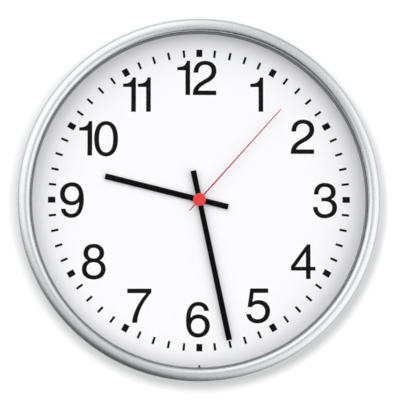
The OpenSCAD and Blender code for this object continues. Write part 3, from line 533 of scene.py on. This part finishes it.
rimEdge = (bezel["radius"], bezel["crest"] - bezel["outerDrop"])
lipEdge = (bezel["opening"], bezel["crest"] - bezel["innerDrop"])
rearEdge = (bezel["radius"], bezel["rear"])
ring = join([crownArc(bezel["radius"], bezel["outerDrop"]),
             crownArc(bezel["opening"], bezel["innerDrop"])])
edit(ring)
chooseCorner(*lipEdge)
chooseCorner(*rimEdge)
x, z = rimEdge
for toX, toZ in (rearEdge, (bezel["skirtInside"], bezel["rear"]), (bezel["skirtInside"], bezel["seat"]),
                 (bezel["opening"], bezel["seat"]), lipEdge):
    step = ((toX - x) * mm, 0, (toZ - z) * mm)
    bpy.ops.mesh.extrude_region_move(TRANSFORM_OT_translate={"value": step})
    x, z = toX, toZ
mergeCorners(near)
bpy.ops.mesh.select_all(action="SELECT")
bpy.ops.mesh.spin(steps=bezel["corners"], angle=math.radians(360), center=(0, 0, 0), axis=(0, 0, 1))
mergeCorners(near)
bpy.ops.mesh.normals_make_consistent(inside=False)
for edge, width, steps in ((rimEdge, bezel["edgeRound"], 3), (lipEdge, bezel["lipRound"], 2),
                           (rearEdge, bezel["rearRound"], 3)):
    chooseEdges(onCircle(*edge))
    roundOff(width, steps)
leaveEdit()

bossFront = bezel["seat"] + bezel["seatSunk"]
boss = addRound(bezel["bossRadius"], bezel["bossRear"], bossFront, 32, (bezel["bossAt"], 0))
edit(boss)
chooseFaces(downward)
narrow(bezel["bossRadius"] - bezel["holeRadius"])
pull(bezel["holeEnd"] - bezel["bossRear"])
chooseEdges(atHeight(bezel["bossRear"]))
roundOff(bezel["bossRound"], 2)
leaveEdit()
web = addBlock((bezel["bossAt"] + bezel["webStart"], bezel["skirtInside"] + bezel["webSunk"]),
               (-bezel["webWidth"] / 2, bezel["webWidth"] / 2), (bezel["bossRear"], bossFront))
softenEdges(web, bezel["webRound"])
bosses = copyRound(join([boss, web]), bezel["bosses"], bezel["firstBoss"])
ring = settle(join([ring] + bosses), "bezel", "case", silverLacquer, 35)
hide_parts("bezel_ring")
print("bezel made")


def addTapered(size, low, high):
    # flat bar along x with another width at the arbor than at its ends
    bar = addBlock((-size["tail"], size["length"]), (-size["ends"] / 2, size["ends"] / 2), (low, high))
    edit(bar)
    bpy.ops.mesh.select_all(action="SELECT")
    bpy.ops.mesh.bisect(plane_co=(0, 0, 0), plane_no=(1, 0, 0))
    bpy.ops.transform.resize(value=(1, size["waist"] / size["ends"], 1), center_override=(0, 0, 0))
    bpy.ops.object.mode_set(mode="OBJECT")
    return bar


# Hands: stamped from sheet, with a round hub pressed on its tube and lightly tumbled edges.
hands = {
    "hour": {"length": 81.2, "tail": 24.8, "ends": 4.8, "waist": 4.8, "height": 29.4, "tube": 2.48,
             "angle": -194},
    "minute": {"length": 119.5, "tail": 24.8, "ends": 4.8, "waist": 4.4, "height": 31.4, "tube": 1.42,
               "angle": -78},
    "thickness": 0.6, "hubRim": 1.6, "edge": 0.1, "corners": 72,
}
for name in ("hour", "minute"):
    size = hands[name]
    low, high = size["height"], size["height"] + hands["thickness"]
    bar = addTapered(size, low, high)
    carve(bar, addRound(size["tube"] + hands["hubRim"], low, high, hands["corners"]), "UNION")
    carve(bar, addRound(size["tube"], low - past, high + past, hands["corners"]), "DIFFERENCE")
    softenEdges(bar, hands["edge"])
    bar.rotation_euler.z = math.radians(size["angle"])
    hand = settle(bar, name + "_bar", name + "_hand", handBlack)
    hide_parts(name + "_hand")
print("hands made")

# Second hand: a needle that is widest at the arbor, under a turned cap.
needle = {
    "length": 101.9, "tail": 12.4, "waist": 1.3, "ends": 0.8, "height": 33.4, "thickness": 0.3,
    "edge": 0.06, "capRadius": 5.35, "capRear": 33.55, "capTop": 34.9, "capRound": 0.45, "capCorners": 96,
    "crown": 0.08, "crownSteps": ((2.2, 0.7), (1.6, 0.3)),  # how far in, and its share of the lift
    "angle": 48,
}
blade = addTapered(needle, needle["height"], needle["height"] + needle["thickness"])
softenEdges(blade, needle["edge"], 1)
crownFoot = needle["capTop"] - needle["crown"]
cap = addRound(needle["capRadius"], needle["capRear"], crownFoot, needle["capCorners"])
edit(cap)
chooseEdges(atHeight(crownFoot))
roundOff(needle["capRound"], 4)
# the first ring of the rounding is chosen too, so a low ridge is left round the flat middle
chooseFaces(lambda p, n: upward(p, n) and p.z > crownFoot - near)
for inward, share in needle["crownSteps"]:
    narrow(inward)
    lift(needle["crown"] * share)
leaveEdit()
# the blade gets the darker red of painted shade
blade.data.materials.append(needleShadedRed)
cap.data.materials.append(handRed)
turning = join([blade, cap])
turning.rotation_euler.z = math.radians(needle["angle"])
turning = settle(turning, "needle_and_cap", "second_hand", handRed, 40)
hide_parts("second_hand")
print("second hand made")

# Cell: a steel can with its nub in a plain two-tone film that curls over both ends.
cell = {
    "diameter": 14.5, "length": 50.5, "nubRadius": 2.6, "nubLength": 1.2, "nubRound": 0.4,
    "start": -23.7, "y": -23.85, "z": 14.15, "filmLip": 1.6, "filmRound": 0.8, "filmCurl": 0.45,
    "canRecess": 0.3, "canInside": 0.4, "ledgeWidth": 2.4, "ledgeHeight": 0.15,
    "baseRim": 1.6, "baseSlope": 0.5, "baseDent": 0.2, "corners": 72,
}
shoulder = cell["length"] - cell["nubLength"]
film = addRound(cell["diameter"] / 2, 0, shoulder, cell["corners"])
edit(film)
chooseFaces(lambda p, n: upward(p, n) or downward(p, n))
narrow(cell["filmLip"])
bpy.ops.mesh.extrude_region_move()
bpy.ops.transform.resize(value=(1, 1, 1 - 2 * cell["filmCurl"] / shoulder),
                         center_override=(0, 0, shoulder / 2 * mm))
chooseEdges(lambda p: abs(p.xy.length - cell["diameter"] / 2) < 2 * near
            and min(p.z, shoulder - p.z) < near)
roundOff(cell["filmRound"], 4)
bpy.ops.object.mode_set(mode="OBJECT")

can = addRound(cell["diameter"] / 2 - cell["canInside"], cell["canRecess"], shoulder - cell["canRecess"],
               cell["corners"])
edit(can)
chooseFaces(upward)
narrow(cell["ledgeWidth"])
lift(cell["ledgeHeight"])
narrow(cell["diameter"] / 2 - cell["canInside"] - cell["ledgeWidth"] - cell["nubRadius"])
pull(cell["nubLength"] + cell["canRecess"] - cell["ledgeHeight"])
chooseEdges(atHeight(cell["length"]))
roundOff(cell["nubRound"], 3)
chooseFaces(downward)
narrow(cell["baseRim"])
narrow(cell["baseSlope"])
lift(cell["baseDent"])
leaveEdit()
lay = Matrix.Translation((cell["start"] * mm, cell["y"] * mm, cell["z"] * mm))
lay = lay @ Matrix.Rotation(math.radians(90), 4, "Y")
for piece, name, material in ((film, "cell_film", cellFilm), (can, "cell_can", cellSteel)):
    piece.data.transform(lay)
    piece = settle(piece, name, "battery", material)
    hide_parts("battery")
print("cell made")

# Case screws: pan heads with a cross recess, driven into the bosses from behind.
screws = {
    "headRadius": 2.6, "headRound": 0.8, "rear": 0.3, "seat": 2.2, "shankRadius": 1.4, "length": 12,
    "point": 0.4, "cross": (2.6, 0.6), "crossDepth": 0.9, "crossPast": 0.2, "corners": 48,
}
screw = addRound(screws["headRadius"], screws["rear"], screws["seat"], screws["corners"])
edit(screw)
chooseFaces(upward)
narrow(screws["headRadius"] - screws["shankRadius"])
pull(screws["length"])
chooseEdges(atHeight(screws["rear"]))
roundOff(screws["headRound"], 4)
chooseEdges(atHeight(screws["seat"] + screws["length"]))
roundOff(screws["point"], 2)
leaveEdit()
for along, across in (screws["cross"], screws["cross"][::-1]):
    slot = addBlock((-along / 2, along / 2), (-across / 2, across / 2),
                    (screws["rear"] - screws["crossPast"], screws["rear"] + screws["crossDepth"]))
    carve(screw, slot, "DIFFERENCE")
screw.data.transform(Matrix.Translation((bezel["bossAt"] * mm, 0, 0)))
screwSet = join(copyRound(screw, bezel["bosses"], bezel["firstBoss"]))
screwSet = settle(screwSet, "pan_screws", "case", screwSteel)
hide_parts("case_screws")
print("screws made")

# Mouldings: the back, the rear half of the housing and the buttons get the small radius of their moulds.
mouldings = {
    "rear_case": ("case", "case_black", caseBlack, 0.3),
    "movement_back": ("case", "housing_black", housingBlack, 0.2),
    "button_set": ("button_set", "button_grey", buttonGrey, 0.25),
    "button_receive": ("button_receive", "button_grey", buttonGrey, 0.25),
    "button_reset": ("button_reset", "button_grey", buttonGrey, 0.25),
}
for node, (body, slot, material, width) in mouldings.items():
    piece = nodeCopy(node)
    softenEdges(piece, width)
    piece = settle(piece, "moulded_" + node, body, material)
    evenShading(piece)
    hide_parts(node)
print("mouldings softened")

# Raised marks of the mould: plus and minus beside the bay and a collar round each button.
marks = {
    "face": 6.5, "height": 0.3, "sunk": 0.05, "plusAt": 33.4, "minusAt": -33, "y": -23.85, "length": 4.6,
    "width": 1.1, "edge": 0.08, "collarsAt": (14, 22, 30), "collarsY": 13, "collarRadius": 3.1,
    "collarInside": 2.5, "corners": 48,
}
low, high = marks["face"] - marks["height"], marks["face"] + marks["sunk"]


def addStroke(x, along, across):
    ys = (marks["y"] - across / 2, marks["y"] + across / 2)
    return addBlock((x - along / 2, x + along / 2), ys, (low, high))


plus = addStroke(marks["plusAt"], marks["length"], marks["width"])
carve(plus, addStroke(marks["plusAt"], marks["width"], marks["length"]), "UNION")
raised = [plus, addStroke(marks["minusAt"], marks["length"], marks["width"])]
for x in marks["collarsAt"]:
    at = (x, marks["collarsY"])
    collar = addRound(marks["collarRadius"], low, high, marks["corners"], at)
    hollow = addRound(marks["collarInside"], low - past, high + past, marks["corners"], at)
    carve(collar, hollow, "DIFFERENCE")
    raised.append(collar)
for piece in raised:
    softenEdges(piece, marks["edge"])
settle(join(raised), "mould_marks", "case", housingBlack)
print("mould marks made")

# Minute track: the ink spreads a little, so the marks are a shade wider than on the printing film.
track = {
    "outer": 126.6, "length": 6.2, "bold": 5.0, "fine": 1.95, "thickness": 0.05,
    "hours": 12, "marksPerHour": 5,
}
levels = (dialFront / mm, dialFront / mm + track["thickness"])
printed = []
for step in range(track["marksPerHour"]):
    width = track["fine" if step else "bold"]
    mark = addBlock((track["outer"] - track["length"], track["outer"]), (-width / 2, width / 2), levels)
    printed += copyRound(mark, track["hours"], step * 360 / track["hours"] / track["marksPerHour"])
printed = settle(join(printed), "printed_marks", "case", dialPrint)
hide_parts("minute_track")
print("minute track printed")

# Numerals: upright sans-serif figures. A contour is a list of steps in thousandths of the
# em: two numbers are a straight line to a point, six are a curve with its handles.
numeral = {
    "height": 28.7 * mm,
    "thickness": 0.05 * mm,
    "spread": 0.17 * mm,  # how far the ink runs past the outline
    "steps": 10,  # lines in each curve
    "drawnHeight": 703, "drawnWidth": 556, "overshoot": 19,  # of the figures below
    "gaps": {"10": 48, "11": 48, "12": 62},  # between two figures, in thousandths of the em
    "places": {  # middle of each number on the dial, in mm from the arbor
        "12": (-2.1, 102.7), "1": (48.4, 88.7), "2": (86.9, 53.2), "3": (105.7, -0.6),
        "4": (87.1, -51.9), "5": (49.2, -88.8), "6": (-1.2, -100.2), "7": (-50.1, -88.5),
        "8": (-88.2, -51.8), "9": (-106.6, -0.3), "10": (-84.5, 51.2), "11": (-52.5, 88.5),
    },
}
figures = {
    "0": [[(278, 703), (414, 703, 519, 590, 519, 342), (519, 94, 414, -19, 278, -19),
           (142, -19, 37, 94, 37, 342), (37, 590, 142, 703, 278, 703)],
          [(278, 629), (190, 629, 129, 545, 129, 342), (129, 139, 190, 55, 278, 55),
           (366, 55, 427, 139, 427, 342), (427, 545, 366, 629, 278, 629)]],
    "1": [[(271, 0), (359, 0), (359, 703), (298, 703), (280, 618, 228, 573, 101, 573), (101, 512),
           (271, 512)]],
    "2": [[(42, 463), (44, 610, 140, 703, 277, 703), (418, 703, 507, 622, 507, 500),
           (507, 405, 455, 332, 352, 272), (250, 213, 150, 170, 131, 85), (503, 85), (503, 0), (26, 0),
           (28, 100, 52, 150, 107, 205), (160, 258, 225, 293, 290, 330), (372, 378, 413, 430, 413, 498),
           (413, 575, 358, 628, 275, 628), (185, 628, 134, 565, 132, 463)]],
    "3": [[(52, 471), (56, 612, 135, 703, 271, 703), (405, 703, 497, 630, 497, 515),
           (497, 442, 458, 392, 390, 368), (472, 346, 522, 285, 522, 198),
           (522, 68, 415, -19, 270, -19), (130, -19, 40, 65, 34, 209), (121, 209),
           (126, 112, 178, 57, 272, 57), (365, 57, 430, 108, 430, 197), (430, 288, 365, 332, 254, 332),
           (206, 332), (206, 396), (242, 396), (350, 396, 405, 440, 405, 514),
           (405, 588, 352, 628, 270, 628), (182, 628, 142, 570, 139, 471)]],
    "4": [[(335, 0), (421, 0), (421, 173), (523, 173), (523, 243), (421, 243), (421, 703), (356, 703),
           (25, 258), (25, 173), (335, 173)],
          [(335, 243), (104, 243), (335, 562)]],
    "5": [[(476, 688), (476, 603), (181, 603), (153, 409), (192, 437, 236, 450, 287, 450),
           (420, 450, 514, 362, 514, 227), (514, 82, 410, -19, 263, -19), (135, -19, 48, 50, 32, 165),
           (120, 165), (133, 98, 183, 59, 261, 59), (357, 59, 421, 125, 421, 218),
           (421, 312, 356, 374, 262, 374), (213, 374, 172, 354, 142, 313), (62, 313), (115, 688)]],
    "6": [[(498, 524), (487, 635, 405, 703, 288, 703), (125, 703, 38, 560, 38, 325),
           (38, 95, 120, -19, 276, -19), (415, -19, 518, 80, 518, 217), (518, 352, 425, 446, 287, 446),
           (215, 446, 160, 415, 126, 364), (130, 540, 190, 628, 285, 628),
           (350, 628, 400, 590, 410, 524)],
          [(280, 371), (190, 371, 135, 305, 135, 215), (135, 125, 190, 58, 280, 58),
           (370, 58, 427, 125, 427, 212), (427, 305, 370, 371, 280, 371)]],
    "7": [[(37, 688), (523, 688), (523, 612), (405, 482, 246, 262, 233, 0), (135, 0),
           (152, 222, 298, 455, 432, 603), (37, 603)]],
    "8": [[(278, 703), (400, 703, 486, 632, 486, 515), (486, 450, 450, 394, 388, 369),
           (468, 345, 517, 280, 517, 190), (517, 65, 420, -19, 278, -19), (136, -19, 38, 65, 38, 190),
           (38, 280, 87, 345, 168, 369), (105, 394, 70, 450, 70, 515), (70, 632, 156, 703, 278, 703)],
          [(278, 629), (205, 629, 160, 585, 160, 516), (160, 445, 205, 404, 278, 404),
           (351, 404, 396, 445, 396, 516), (396, 585, 351, 629, 278, 629)],
          [(278, 334), (185, 334, 128, 280, 128, 196), (128, 112, 185, 58, 278, 58),
           (371, 58, 428, 112, 428, 196), (428, 280, 371, 334, 278, 334)]],
}
turnedBy = (numeral["drawnWidth"], numeral["drawnHeight"] - numeral["overshoot"])
figures["9"] = [[tuple(turnedBy[i % 2] - v for i, v in enumerate(step)) for step in contour]
                for contour in figures["6"]]  # the nine is the six turned by half a turn


def drawFigure(curve, contours, shift, scale):
    for contour in contours:
        spline = curve.splines.new("BEZIER")
        closed = contour[0][-2:] == contour[-1][-2:]
        corners = contour[1:] if closed else contour
        spline.bezier_points.add(len(corners) - 1)
        spline.use_cyclic_u = True
        ends = [Vector(step[-2:]) for step in corners]
        for i, step in enumerate(corners):
            point, before = spline.bezier_points[i], spline.bezier_points[i - 1]
            start, end = ends[i - 1], ends[i]
            if len(step) == 6:
                first, second = Vector(step[:2]), Vector(step[2:4])
            else:
                first, second = start.lerp(end, 1 / 3), start.lerp(end, 2 / 3)
            point.handle_left_type = point.handle_right_type = "FREE"
            point.co = (*((end + shift) * scale), 0)
            point.handle_left = (*((second + shift) * scale), 0)
            before.handle_right = (*((first + shift) * scale), 0)


def spanOf(contours):
    xs = [step[-2] for contour in contours for step in contour]
    ys = [step[-1] for contour in contours for step in contour]
    return min(xs), max(xs), min(ys), max(ys)


scale = numeral["height"] / numeral["drawnHeight"]
for text, (x, y) in numeral["places"].items():
    curve = bpy.data.curves.new("numeral_" + text, "CURVE")
    curve.dimensions = "2D"
    curve.fill_mode = "BOTH"
    curve.resolution_u = numeral["steps"]
    curve.extrude = numeral["thickness"] / 2
    curve.offset = numeral["spread"]
    spans = [spanOf(figures[c]) for c in text]
    gap = numeral["gaps"].get(text, 0)
    width = sum(s[1] - s[0] for s in spans) + gap
    low, high = min(s[2] for s in spans), max(s[3] for s in spans)
    pen = -width / 2
    for c, span in zip(text, spans):
        drawFigure(curve, figures[c], Vector((pen - span[0], -(low + high) / 2)), scale)
        pen += span[1] - span[0] + gap
    piece = bpy.data.objects.new("numeral_" + text, curve)
    bpy.context.scene.collection.objects.link(piece)
    pick(piece)
    bpy.ops.object.convert(target="MESH")
    piece = bpy.context.object
    piece.location = (x * mm, y * mm, dialFront + numeral["thickness"] / 2)
    settle(piece, "numeral_" + text, "case", dialPrint, 20)
print("numerals drawn")

# Room: a white wall, open right behind the clock so that its back can be looked at, and a studio
# that is bright to the upper left and to the right, dimmer straight ahead, and dark towards the
# floor and the wall's plane.
room = {
    "wallSize": 6, "wallOpening": 147.4 * mm, "wallBehind": 0.5 * mm, "wallCorners": 128,
    "wallGlow": 0.42,
    "paintedShadowReach": 20 * mm,  # how far from the clock the painted shadow in the wall's glow reaches
    "paintedShadowOpenness": (0.64, 0.84),  # openness at which the painted shadow ends, upper left and lower right
    "shadeAcross": (0.94, 0, -0.34), "shadeFrom": -0.11, "shadeTo": 0.19,  # the way between the two, so the painted shadow is deeper to the lower right
    "opennessSamples": 16,
    "front": 0.32,
    # each panel: its place clockwise from above, where its soft edge starts and ends, strength
    "panels": [(301, -0.25, 0.62, 1.42), (114, -0.18, 0.62, 1.32)],
    "floor": (208, 0.2, 0.95, 0.95),  # the same for the dark floor, which takes light away
    "aside": (0.02, 0.4, 0.75),  # edge, edge and strength of the dimming towards the wall's plane
}
clearSelection()
bpy.ops.mesh.primitive_circle_add(vertices=room["wallCorners"], radius=room["wallSize"] / 2,
                                  fill_type="NGON", location=(0, room["wallBehind"], -hangDrop),
                                  rotation=(math.radians(90), 0, 0))
backdrop = bpy.context.object
bpy.ops.object.transform_apply(location=True, rotation=True, scale=True)
edit(backdrop)
bpy.ops.mesh.select_all(action="SELECT")
bpy.ops.mesh.inset(thickness=room["wallSize"] / 2 - room["wallOpening"])
bpy.ops.mesh.delete(type="FACE")
bpy.ops.object.mode_set(mode="OBJECT")
backdrop.name = "backdrop_wall"

# White matt wall paint: it glows for the eye and for mirrors but doesn't light the clock. Close to the
# clock the glow fades, more so to the lower right: a painted shadow, as of light from the upper left.
wallPaint, tree, shader = newMaterial("white matt wall paint", "E4E4E4", Roughness=0.9)
rays = addNode(tree, "ShaderNodeLightPath")
seen = calculate(tree, "MAXIMUM", rays.outputs["Is Camera Ray"], rays.outputs["Is Glossy Ray"])
seen = calculate(tree, "MAXIMUM", seen, rays.outputs["Is Transmission Ray"])
# painted shadow: the glow is taken away where the clock is near, most to the lower right
openness = addNode(tree, "ShaderNodeAmbientOcclusion", {
    "samples": room["opennessSamples"], "Distance": room["paintedShadowReach"],
}).outputs["AO"]
place = addNode(tree, "ShaderNodeTexCoord")
across = addNode(tree, "ShaderNodeVectorMath", {
    "operation": "DOT_PRODUCT", 0: place.outputs["Object"], 1: room["shadeAcross"],
})
shade = remap(tree, across.outputs["Value"], room["shadeFrom"], room["shadeTo"], *room["paintedShadowOpenness"])
glow = calculate(tree, "MULTIPLY", seen, remap(tree, openness, shade, 1, 0, room["wallGlow"]))
tree.links.new(glow, shader.inputs["Emission Strength"])
shader.inputs["Emission Color"].default_value = (1, 1, 1, 1)
backdrop.data.materials.append(wallPaint)

world = bpy.data.worlds.new("studio")
world.use_nodes = True
bpy.context.scene.world = world
tree = world.node_tree
sky = tree.nodes["Background"]
sky.inputs["Color"].default_value = (1, 1, 1, 1)
around = addNode(tree, "ShaderNodeTexCoord").outputs["Generated"]


def addPanel(turn, start, end, low, high):
    # low away from the panel, high towards it, with a soft edge between; turn is clockwise from above
    direction = (math.sin(math.radians(turn)), 0, math.cos(math.radians(turn)))
    towards = addNode(tree, "ShaderNodeVectorMath", {"operation": "DOT_PRODUCT", 0: around, 1: direction})
    return remap(tree, towards.outputs["Value"], start, end, low, high, "SMOOTHSTEP")


light = room["front"]
for turn, start, end, strength in room["panels"]:
    light = calculate(tree, "ADD", light, addPanel(turn, start, end, 0, strength))
turn, start, end, strength = room["floor"]
light = calculate(tree, "MULTIPLY", light, addPanel(turn, start, end, 1, 1 - strength))
start, end, strength = room["aside"]
towards = addNode(tree, "ShaderNodeSeparateXYZ", {"Vector": around})
ahead = calculate(tree, "ABSOLUTE", towards.outputs["Y"])
dimming = remap(tree, ahead, start, end, 1 - strength, 1, "SMOOTHSTEP")
tree.links.new(calculate(tree, "MULTIPLY", light, dimming), sky.inputs["Strength"])

# Camera: almost straight on, a little left of the middle and a little below it.
view = {"place": (-0.0176, -0.9, -0.1494), "pitch": 92.05, "yaw": -1.193, "lens": 93.65, "sensor": 36}
camera = bpy.data.objects.new("camera", bpy.data.cameras.new("camera"))
camera.location = view["place"]
camera.rotation_euler = (math.radians(view["pitch"]), 0, math.radians(view["yaw"]))
camera.data.lens = view["lens"]
camera.data.sensor_width = view["sensor"]
bpy.context.scene.collection.objects.link(camera)
bpy.context.scene.camera = camera
bpy.context.scene.view_settings.view_transform = "Standard"
print("room and camera ready")
